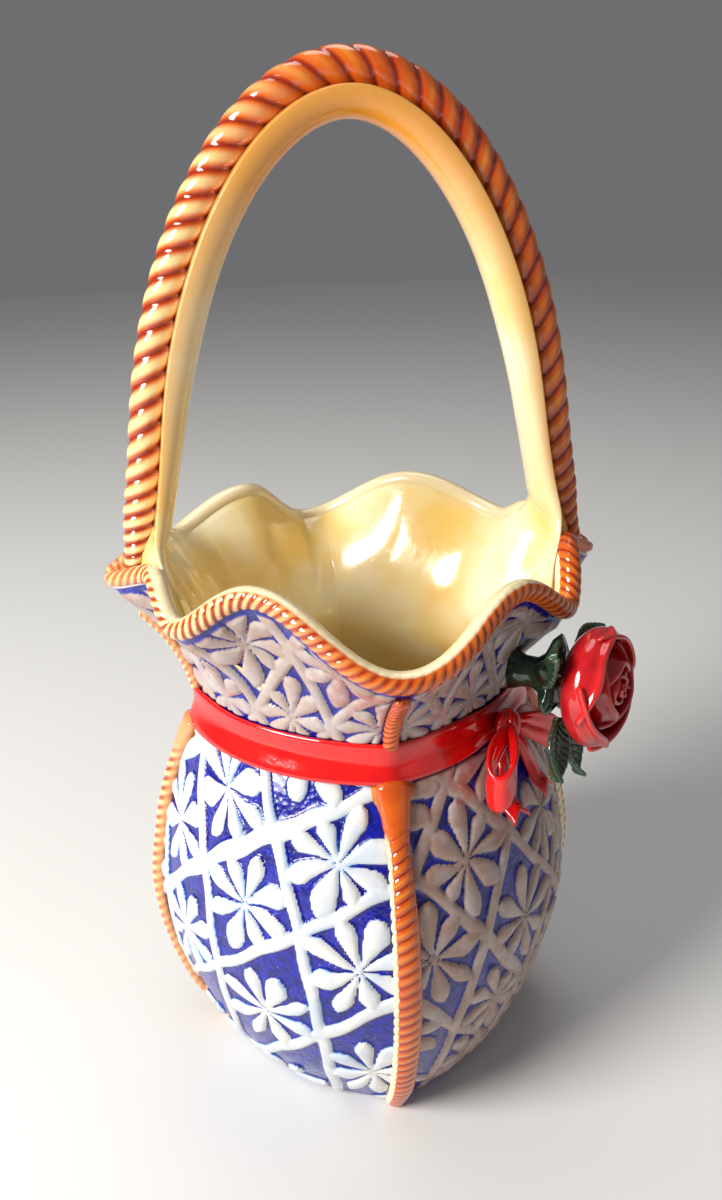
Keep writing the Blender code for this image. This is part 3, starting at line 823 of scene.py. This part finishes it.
def make_loop(node, side, finish):
    """One drooping loop of the bow: a strip that runs out from the knot and back."""
    ahead, beside = headings(side * LOOP_HEADING)

    def point(turn, w):
        out = (1 - math.cos(turn)) / 2
        x = LOOP_LENGTH * out
        y = 3.6 * math.sin(turn) * (0.62 - 0.38 * math.cos(turn))
        half = 2.0 + 2.9 * math.sin(math.pi * min(out, 1) ** 0.8 / 1.6)
        pleat = 0.35 * math.cos(w * 8) * (1 - out) + 0.12 * math.cos(w * 5 + turn)
        curl = 0.5 * w * w * math.sin(turn)
        droop = 0.8 * out * out + 0.42 * x + 0.012 * x * x
        spot = [4.0, side * 2.6] + ahead * x + beside * (y + pleat + curl)
        return framed(bow_frame(), *spot, w * half - droop)

    down, across = np.linspace(0.12, 2 * math.pi - 0.12, 72), np.linspace(-1, 1, 19)
    place_shell(node, "glazed", down, across, point, LOOP_THICKNESS, finish)


def make_tail(node, side, finish):
    """A ribbon end that lies down the panel under the knot, with a curled, notched tip."""

    def point(t, w):
        sway = side * (2.4 + 6.2 * t + 1.3 * math.sin(4.4 * t)) * MM
        half = (1.7 + 1.3 * t) * MM
        notch = 2.6 * (1 - abs(w)) * smoothstep(0.8, 1, t) * MM
        z = NECK_HEIGHT - (4.0 + TAIL_LENGTH * t * 0.95) * MM + notch
        angle = BOW_ANGLE + math.degrees((sway + w * half) / (46 * MM))
        wave = 1.0 * math.sin(t * 8.2 + side) * t + 0.35 * math.cos(w * 5) * (1 - t)
        curl = 2.2 * smoothstep(0.75, 1, t)
        lift = (1.5 + 1.0 * (1 - t) + wave * 0.7 + curl) * MM
        return wall_point(angle, z) + wall_normal(angle, z) * lift

    down, across = np.linspace(0, 1, 60), np.linspace(-1, 1, 17)
    place_shell(node, "glazed", down, across, point, TAIL_THICKNESS, finish)


# --- Rose and leaves ---

ROSE_DISTANCE = 60.6 * MM
ROSE_HEIGHT = 118.4 * MM
ROSE_TILT = 4
# Petals: radius, depth of the bowl, turn of the middle, span, angle of the lip from the front
PETALS = (
    (7.0, 0.92, 80, 190, 34),
    (7.9, 0.86, 205, 175, 40),
    (9.0, 0.78, 325, 165, 46),
    (11.6, 0.56, 40, 135, 44),
    (12.5, 0.51, 130, 128, 50),
    (13.3, 0.47, 222, 128, 52),
    (14.0, 0.44, 312, 130, 55),
)
PETAL_THICKNESS = 1.1
PETAL_ROOT = 162
PETAL_WAVE_STEP = 1.7
BUD_THICKNESS = 0.8
BUD_TURNS = 2.1
# Stem: distance in front of the rose's middle, radius, and how far the sepals stand out
STEM = ((-8.5, 7.5, 2.2), (-10.5, 7.0, 1.2), (-12.2, 4.6, 0.3), (-14, 3.6, 0), (-17, 3.6, 0), (-19.6, 4.6, 0))
SEPALS = 5
# Leaves: turn round the rose, length, width
LEAVES = ((35, 5.5, 9.0), (140, 9.0, 10.5), (235, 13.5, 11.5), (270, 14.5, 11.0), (325, 9.0, 10.0))
LEAF_THICKNESS = 1.1
LEAF_START = 9.0
LEAF_DEPTH = 7.2
LEAF_TEETH = 9


def rose_frame():
    """Origin at the rose's middle, and its sideways, up and facing directions."""
    out = direction(BOW_ANGLE)
    tilt = math.radians(ROSE_TILT)
    facing = out * math.cos(tilt) + np.array([0, 0, math.sin(tilt)])
    side = unit(np.cross([0, 0, 1], facing))
    origin = out * ROSE_DISTANCE + np.array([0, 0, ROSE_HEIGHT])
    return origin, np.stack([side, np.cross(facing, side), facing])


def place_petal(node, ending, down, across, point, thickness, finish):
    """A petal, darker towards its root."""
    root = {"fold": np.repeat(1 - down, len(across))}
    place_shell(node, ending, down, across, point, thickness, finish, root)


def make_petal(number, finish, radius, depth, start, span, closing):
    """A cupped petal, wrapped round the rose's axis, with a rolled and wavy lip."""
    phase = PETAL_WAVE_STEP * number

    def point(t, u):
        bowl = math.radians(PETAL_ROOT - (PETAL_ROOT - closing) * t)
        drop = 0.22 * abs(u) ** 2.6 * t * t
        angle = bowl + math.radians(34 * abs(u) ** 2.4 * t + 3.5 * math.sin(u * 5 + phase) * t * t)
        lip = smoothstep(0.80, 1, t)
        wide = radius * (1 + 0.055 * u + 0.02 * math.sin(3 * u + phase) * t)
        r = wide * (math.sin(angle) + 0.10 * lip * lip)
        lift = radius * depth * (math.cos(angle) + 0.10 * lip) * (1 - 0.3 * drop)
        spread = 0.55 + 0.45 * math.sin(math.pi / 2 * min(2.2 * t + 0.1, 1))
        turn = math.radians(start + span / 2 * u * spread)
        return framed(rose_frame(), r * math.cos(turn), r * math.sin(turn), lift)

    down, across = np.linspace(0, 1, 34), np.linspace(-1, 1, 41)
    place_petal(f"rose_petal_{number}", "cupped", down, across, point, PETAL_THICKNESS, finish)


def make_bud(finish):
    """The rose's heart, a leaf of clay rolled up in a spiral."""

    def point(t, s):
        turn = 2 * math.pi * BUD_TURNS * s
        r = (0.5 + 4.6 * s) * (0.60 + 0.40 * math.sin(math.pi * (0.25 + 0.6 * t)))
        lift = -4.5 + (11.4 - 2.0 * s) * t + 0.25 * math.sin(3 * turn) * t
        return framed(rose_frame(), r * math.cos(turn), r * math.sin(turn), lift)

    down, across = np.linspace(0, 1, 26), np.linspace(0, 1, 110)
    place_petal("rose_bud", "rolled", down, across, point, BUD_THICKNESS, finish)


def make_stem(finish):
    """The clay stalk under the rose, with five short sepals."""
    turns = circle(60)

    def point(ring, t):
        depth, radius, frill = ring
        wave = frill * math.cos(SEPALS * t)
        r = radius + wave
        return framed(rose_frame(), r * math.cos(t), r * math.sin(t), depth - 0.35 * wave)

    faces = [face[::-1] for face in grid_faces(len(STEM), len(turns))]
    close_ends(faces, len(STEM), len(turns), flip=True)
    place("rose_stem", "sepals", sheet(STEM, turns, point), faces, [finish], {})


def make_leaf(number, finish, angle, length, width):
    """A pointed, toothed leaf behind the rose, with a sunk midrib and side veins."""
    ahead, beside = headings(angle)

    def shape(t, w):
        """Half width of the leaf at t, and depth of its veins at t and w."""
        outline = width / 2 * math.sin(math.pi * t**0.78) ** 0.8 * (1 - 0.2 * t)
        tooth = 0.45 * (t * LEAF_TEETH % 1) * math.sin(math.pi * t)
        half = max(outline + tooth, 0.25)
        slant = (t * LEAF_TEETH - abs(w) * 1.6) % 1
        midrib = math.exp(-((abs(w) * half / 0.35) ** 2))
        return half, midrib + 0.7 * math.exp(-(((slant - 0.5) / 0.13) ** 2)) * (1 - abs(w)) ** 0.4

    def point(t, w):
        half, vein = shape(t, w)
        cup = 1.5 * abs(w) ** 1.6 - 0.32 * vein
        lift = cup + 2.6 * t * t - 0.9 * math.sin(4 * t + number) * w * t
        spot = ahead * (LEAF_START + length * t) + beside * half * w
        return framed(rose_frame(), *spot, lift - LEAF_DEPTH)

    down, across = np.linspace(0, 1, 70), np.linspace(-1, 1, 41)
    veins = {"vein": [shape(t, w)[1] for t in down for w in across]}
    node = f"rose_leaf_{number}"
    place_shell(node, "veined", down, across, point, LEAF_THICKNESS, finish, veins)


# --- Glazes ---


NOISE_ROUGHNESS = 0.55
GLASS_IOR = 1.52
COAT_ROUGHNESS = 0.06


class Glaze:
    """A node material for a shiny fired glaze, built up from patterns and vertex values."""

    def __init__(self, name, roughness, coat=0.5):
        self.material = bpy.data.materials.new(name)
        self.material.use_nodes = True
        self.tree = self.material.node_tree
        self.shader = self.tree.nodes["Principled BSDF"]
        self.shader.inputs["IOR"].default_value = GLASS_IOR
        self.shader.inputs["Coat Weight"].default_value = coat
        self.shader.inputs["Coat Roughness"].default_value = COAT_ROUGHNESS
        self.place_of = self.add("ShaderNodeTexCoord").outputs["Object"]
        self.vary_roughness(roughness)

    def feed(self, socket, value):
        if isinstance(value, bpy.types.NodeSocket):
            self.tree.links.new(value, socket)
        else:
            socket.default_value = (*value, 1) if isinstance(value, tuple) else value

    def add(self, kind, **inputs):
        made = self.tree.nodes.new(kind)
        for name, value in inputs.items():
            self.feed(made.inputs[name.replace("_", " ")], value)
        return made

    def link(self, source, target):
        self.tree.links.new(source, self.shader.inputs[target])

    def value(self, name):
        made = self.add("ShaderNodeAttribute")
        made.attribute_name = name
        return made.outputs["Fac"]

    def noise(self, scale, detail):
        settings = {"Scale": scale, "Detail": detail, "Roughness": NOISE_ROUGHNESS}
        return self.add("ShaderNodeTexNoise", Vector=self.place_of, **settings).outputs["Fac"]

    def cells(self, scale, feature="F1"):
        made = self.add("ShaderNodeTexVoronoi", Vector=self.place_of, Scale=scale)
        made.feature = feature
        return made.outputs["Distance"]

    def ramp(self, source, low, high, start=0.0, end=1.0):
        limits = {"From_Min": low, "From_Max": high, "To_Min": start, "To_Max": end}
        made = self.add("ShaderNodeMapRange", Value=source, **limits)
        made.interpolation_type = "SMOOTHSTEP"
        return made.outputs["Result"]

    def maths(self, operation, one, two):
        made = self.add("ShaderNodeMath")
        made.operation = operation
        self.feed(made.inputs[0], one)
        self.feed(made.inputs[1], two)
        return made.outputs["Value"]

    def mix(self, share, one, two):
        """Colour between one and two; each is an RGB triple or a socket."""
        made = self.add("ShaderNodeMix")
        made.data_type = "RGBA"
        for name, value in (("Factor_Float", share), ("A_Color", one), ("B_Color", two)):
            self.feed(next(s for s in made.inputs if s.identifier == name), value)
        return next(s for s in made.outputs if s.identifier == "Result_Color")

    def vary_roughness(self, roughness):
        self.link(self.ramp(self.noise(260, 4), 0.3, 0.75, roughness * 0.8, roughness * 1.35), "Roughness")

    def bump(self, height, distance, strength):
        made = self.add("ShaderNodeBump", Height=height, Distance=distance, Strength=strength)
        self.link(made.outputs["Normal"], "Normal")

    def times(self, one, two):
        return self.maths("MULTIPLY", one, two)

    def plus(self, one, two):
        return self.maths("ADD", one, two)

    def grain(self, scale, detail, amount):
        """Noise that is as often below zero as above it."""
        return self.times(self.maths("SUBTRACT", self.noise(scale, detail), 0.5), amount)

    def mix(self, share, one, two):
        """Colour between one and two; each is an RGB triple or a socket."""
        made = self.tree.nodes.new("ShaderNodeMix")
        made.data_type = "RGBA"
        for name, value in (("Factor_Float", share), ("A_Color", one), ("B_Color", two)):
            socket = next(s for s in made.inputs if s.identifier == name)
            if isinstance(value, bpy.types.NodeSocket):
                self.tree.links.new(value, socket)
            elif name == "Factor_Float":
                socket.default_value = value
            else:
                socket.default_value = (*value, 1)
        return next(s for s in made.outputs if s.identifier == "Result_Color")

    def vary_roughness(self, roughness):
        self.link(self.ramp(self.noise(260, 4), 0.3, 0.75, roughness * 0.8, roughness * 1.35), "Roughness")

    def bump(self, height, distance, strength):
        made = self.add("ShaderNodeBump", Height=height)
        made.inputs["Distance"].default_value = distance
        made.inputs["Strength"].default_value = strength
        self.link(made.outputs["Normal"], "Normal")


# Colours of the wall: stippled ground, relief, bare clay
COBALT, DEEP_COBALT, SPARKLE = (0.003, 0.008, 0.36), (0.002, 0.002, 0.16), (0.22, 0.34, 0.80)
WARM_WHITE, COOL_WHITE, BLUE_WASH = (0.76, 0.75, 0.71), (0.64, 0.66, 0.70), (0.10, 0.36, 0.72)
# The tan below is a real stain on the band plus painted shade, and painted shade with warm reflected light on
# the right-hand panels
TAN_STAIN_AND_SHADE, SEAM_BROWN, BARE_CLAY = (0.35, 0.205, 0.15), (0.72, 0.27, 0.06), (0.78, 0.72, 0.60)
# Colours of the inside and the strap
CREAM, AMBER, SPECK_BROWN = (0.94, 0.86, 0.58), (0.92, 0.62, 0.16), (0.30, 0.17, 0.07)
CROWN_ORANGE, POOL_BROWN = (0.78, 0.28, 0.02), (0.74, 0.36, 0.09)
# Colours of the ropes
HONEY, DARK_HONEY, GROOVE_RED = (0.68, 0.12, 0.007), (0.52, 0.06, 0.004), (0.28, 0.02, 0.003)
# The last colour below is real cream glaze on the rim ropes and a painted highlight on the corner ropes'
# flanks
# The middle colour below is a painted highlight on the crests towards the vase's left
CREST_ORANGE, CREST_HIGHLIGHT, ROPE_CREAM_AND_HIGHLIGHT = (0.85, 0.32, 0.035), (0.93, 0.72, 0.33), (0.88, 0.74, 0.46)
# Bright, dark and lip colours of the ribbon and the rose, and the leaves' colours
RIBBON_REDS = ((0.92, 0.010, 0.008), (0.60, 0.004, 0.006), (0.90, 0.10, 0.08))
ROSE_REDS = ((0.62, 0.010, 0.014), (0.28, 0.003, 0.008), (0.72, 0.06, 0.05))
GREEN, DARK_GREEN = (0.010, 0.060, 0.024), (0.003, 0.020, 0.010)
VEIN_GREEN, EDGE_GREEN = (0.030, 0.12, 0.045), (0.08, 0.15, 0.07)


def body_glaze():
    g = Glaze("body_glaze_finish", 0.26, 0.3)
    ground = g.mix(g.ramp(g.noise(420, 4), 0.35, 0.68), DEEP_COBALT, COBALT)
    spots = g.ramp(g.cells(900), 0.10, 0.26, 1.0, 0.0)
    spots = g.times(spots, g.ramp(g.noise(700, 2), 0.50, 0.62))
    ground = g.mix(g.times(spots, 0.6), ground, SPARKLE)
    white = g.mix(g.ramp(g.noise(120, 3), 0.35, 0.7), WARM_WHITE, COOL_WHITE)
    rise = g.value("relief")
    wash = g.times(g.ramp(g.noise(110, 3), 0.42, 0.6, 0.1, 1.0), g.ramp(rise, 0.3, 0.95, 1.0, 0.2))
    white = g.mix(wash, white, BLUE_WASH)
    # Tan: real stain with painted shade on the band, painted shade and warm reflected light on the right-hand
    # panels
    stain_and_shade = g.times(g.value("tan_stain_and_shade"), g.ramp(g.noise(180, 3), 0.3, 0.62, 0.7, 1.0))
    white = g.mix(stain_and_shade, white, TAN_STAIN_AND_SHADE)
    colour = g.mix(g.ramp(g.plus(rise, g.grain(650, 3, 0.3)), 0.25, 0.6), ground, white)
    seam = g.plus(g.value("seam"), g.grain(300, 3, 0.7))
    colour = g.mix(g.ramp(seam, 0.4, 0.6), colour, SEAM_BROWN)
    g.link(g.mix(g.value("ground"), BARE_CLAY, colour), "Base Color")
    stipple = g.times(g.cells(800), g.ramp(rise, 0.0, 0.6, 1.0, 0.06))
    g.bump(g.plus(stipple, g.times(g.noise(330, 3), 0.35)), 0.3 * MM, 0.5)
    return g.material


def cream_glaze():
    g = Glaze("cream_glaze_finish", 0.15)
    patch = g.plus(g.noise(26, 3), g.times(g.noise(90, 3), 0.15))
    cream = g.mix(g.ramp(patch, 0.46, 0.76), CREAM, AMBER)
    cream = g.mix(g.value("crown"), cream, CROWN_ORANGE)
    cream = g.mix(g.times(g.value("pool"), 0.75), cream, POOL_BROWN)
    specks = g.times(g.ramp(g.cells(420), 0.0, 0.075, 1.0, 0.0), g.ramp(g.noise(60, 2), 0.6, 0.7))
    g.link(g.mix(specks, cream, SPECK_BROWN), "Base Color")
    crackle = g.ramp(g.cells(230, "DISTANCE_TO_EDGE"), 0.0, 0.03)
    g.bump(g.plus(g.times(crackle, 0.05), g.noise(150, 3)), 0.25 * MM, 0.5)
    return g.material


def rope_glaze():
    g = Glaze("rope_glaze_finish", 0.17)
    honey = g.mix(g.ramp(g.noise(70, 3), 0.35, 0.68), HONEY, DARK_HONEY)
    groove = g.value("groove")
    crest = g.times(g.ramp(groove, 0.05, 0.5, 1.0, 0.0), g.ramp(g.noise(60, 2), 0.35, 0.65, 0.1, 0.65))
    honey = g.mix(crest, honey, CREST_ORANGE)
    # Painted highlight: the crests turn cream towards the vase's left
    light = g.times(g.value("light"), g.ramp(groove, 0.15, 0.75, 0.95, 0.0))
    honey = g.mix(light, honey, CREST_HIGHLIGHT)
    honey = g.mix(g.ramp(groove, 0.55, 0.95), honey, GROOVE_RED)
    # Cream: real cream glaze on the rim ropes, a painted highlight on a flank of the lower corner ropes
    cream_and_highlight = g.ramp(g.plus(g.value("cream_and_highlight"), g.grain(200, 2, 0.35)), 0.35, 0.8)
    g.link(g.mix(cream_and_highlight, honey, ROPE_CREAM_AND_HIGHLIGHT), "Base Color")
    g.bump(g.plus(g.noise(260, 3), g.times(g.noise(900, 2), 0.25)), 0.3 * MM, 0.45)
    return g.material


def red_glaze(name, bright, dark, lip):
    g = Glaze(name, 0.12)
    red = g.mix(g.ramp(g.noise(85, 3), 0.35, 0.7), bright, dark)
    red = g.mix(g.times(g.value("fold"), 0.6), red, dark)
    red = g.mix(g.times(g.value("edge"), 0.35), red, lip)
    g.link(red, "Base Color")
    g.bump(g.plus(g.noise(170, 3), g.times(g.noise(900, 2), 0.15)), 0.25 * MM, 0.5)
    return g.material


def leaf_glaze():
    g = Glaze("leaf_glaze_finish", 0.12)
    green = g.mix(g.ramp(g.noise(110, 3), 0.35, 0.68), GREEN, DARK_GREEN)
    green = g.mix(g.times(g.value("vein"), 0.4), green, VEIN_GREEN)
    green = g.mix(g.times(g.value("edge"), 0.25), green, EDGE_GREEN)
    g.link(green, "Base Color")
    g.bump(g.plus(g.noise(240, 3), g.times(g.noise(800, 2), 0.2)), 0.3 * MM, 0.5)
    return g.material


# --- Studio ---


# The photograph's viewing angle: from in front, a little to the left and above, very near
CAMERA_TURN, CAMERA_ELEVATION, CAMERA_ROLL = (math.radians(angle) for angle in (-9.68, 23.92, -1.27))
CAMERA_DISTANCE = 252.6 * MM
CAMERA_TARGET = (0.47 * MM, 0, 125.1 * MM)
CAMERA_LENS = 31.3
# Soft lights: name, position, size, power, colour
LIGHTS = (
    ("key", (-0.68, -0.30, 0.50), 0.40, 11.0, (1.0, 0.97, 0.92)),
    ("fill", (0.65, -0.5, 0.35), 0.7, 0.3, (0.93, 0.96, 1.0)),
    ("top", (0.05, 0.25, 0.85), 0.5, 1.7, (1.0, 0.98, 0.95)),
)
LIGHTS_AIM = (0, 0, 0.12)
FLOOR_HALF = 1.6
FLOOR_DROP = 0.05 * MM
FLOOR_COLOUR, FLOOR_ROUGHNESS = (0.80, 0.80, 0.79, 1), 0.85
SKY_COLOUR, SKY_STRENGTH = (0.86, 0.87, 0.9, 1), 0.18


def make_camera():
    target = Vector(CAMERA_TARGET)
    back = Vector((0, -math.cos(CAMERA_ELEVATION), math.sin(CAMERA_ELEVATION)))
    right = Vector((1, 0, 0))
    up = back.cross(right)
    across = right * math.cos(CAMERA_ROLL) + up * math.sin(CAMERA_ROLL)
    over = up * math.cos(CAMERA_ROLL) - right * math.sin(CAMERA_ROLL)
    matrix = Matrix((across, over, back)).transposed().to_4x4()
    matrix.translation = target + back * CAMERA_DISTANCE
    data = bpy.data.cameras.new("camera")
    data.lens = CAMERA_LENS
    data.clip_start = 0.005
    camera = bpy.data.objects.new("camera", data)
    camera.matrix_world = Matrix.Rotation(CAMERA_TURN, 4, "Z") @ matrix
    bpy.context.scene.collection.objects.link(camera)
    bpy.context.scene.camera = camera


def soft_light(name, position, size, power, colour):
    data = bpy.data.lights.new(name, "AREA")
    data.shape = "DISK"
    data.size = size
    data.energy = power
    data.color = colour
    lamp = bpy.data.objects.new(name, data)
    lamp.location = position
    lamp.rotation_euler = (Vector(LIGHTS_AIM) - Vector(position)).to_track_quat("-Z", "Y").to_euler()
    bpy.context.scene.collection.objects.link(lamp)


def make_studio():
    mesh = bpy.data.meshes.new("studio_floor")
    corners = [(x * FLOOR_HALF, y * FLOOR_HALF, 0) for x, y in ((-1, -1), (1, -1), (1, 1), (-1, 1))]
    mesh.from_pydata(corners, [], [(0, 1, 2, 3)])
    floor = bpy.data.objects.new("studio_floor", mesh)
    floor.location.z = -FLOOR_DROP
    bpy.context.scene.collection.objects.link(floor)
    paper = bpy.data.materials.new("floor_paper")
    paper.use_nodes = True
    shader = paper.node_tree.nodes["Principled BSDF"]
    shader.inputs["Base Color"].default_value = FLOOR_COLOUR
    shader.inputs["Roughness"].default_value = FLOOR_ROUGHNESS
    mesh.materials.append(paper)
    for light in LIGHTS:
        soft_light(*light)
    world = bpy.data.worlds.new("studio")
    world.use_nodes = True
    sky = world.node_tree.nodes["Background"]
    sky.inputs["Color"].default_value = SKY_COLOUR
    sky.inputs["Strength"].default_value = SKY_STRENGTH
    bpy.context.scene.world = world
    bpy.context.scene.view_settings.view_transform = "Standard"


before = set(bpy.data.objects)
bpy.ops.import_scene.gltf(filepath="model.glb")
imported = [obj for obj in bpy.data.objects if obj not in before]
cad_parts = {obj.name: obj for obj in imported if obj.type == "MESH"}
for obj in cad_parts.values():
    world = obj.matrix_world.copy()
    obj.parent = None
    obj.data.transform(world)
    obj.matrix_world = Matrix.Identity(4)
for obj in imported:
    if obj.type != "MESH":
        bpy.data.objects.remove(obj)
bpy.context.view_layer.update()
make_camera()
cream = cream_glaze()
rope = rope_glaze()
ribbon = red_glaze("ribbon_glaze_finish", *RIBBON_REDS)
rose = red_glaze("rose_glaze_finish", *ROSE_REDS)
leaf = leaf_glaze()
make_body(body_glaze(), cream)
make_handle_rope(rope)
make_strap(cream)
make_rim_ropes(rope)
make_corner_ropes(rope)
make_ribbon(ribbon)
make_knot(ribbon)
make_loop("bow_loop_left", -1, ribbon)
make_loop("bow_loop_right", 1, ribbon)
make_tail("ribbon_tail_left", -1, ribbon)
make_tail("ribbon_tail_right", 1, ribbon)
make_bud(rose)
for number, petal in enumerate(PETALS, start=1):
    make_petal(number, rose, *petal)
make_stem(leaf)
for number, shape in enumerate(LEAVES, start=1):
    make_leaf(number, leaf, *shape)
make_studio()
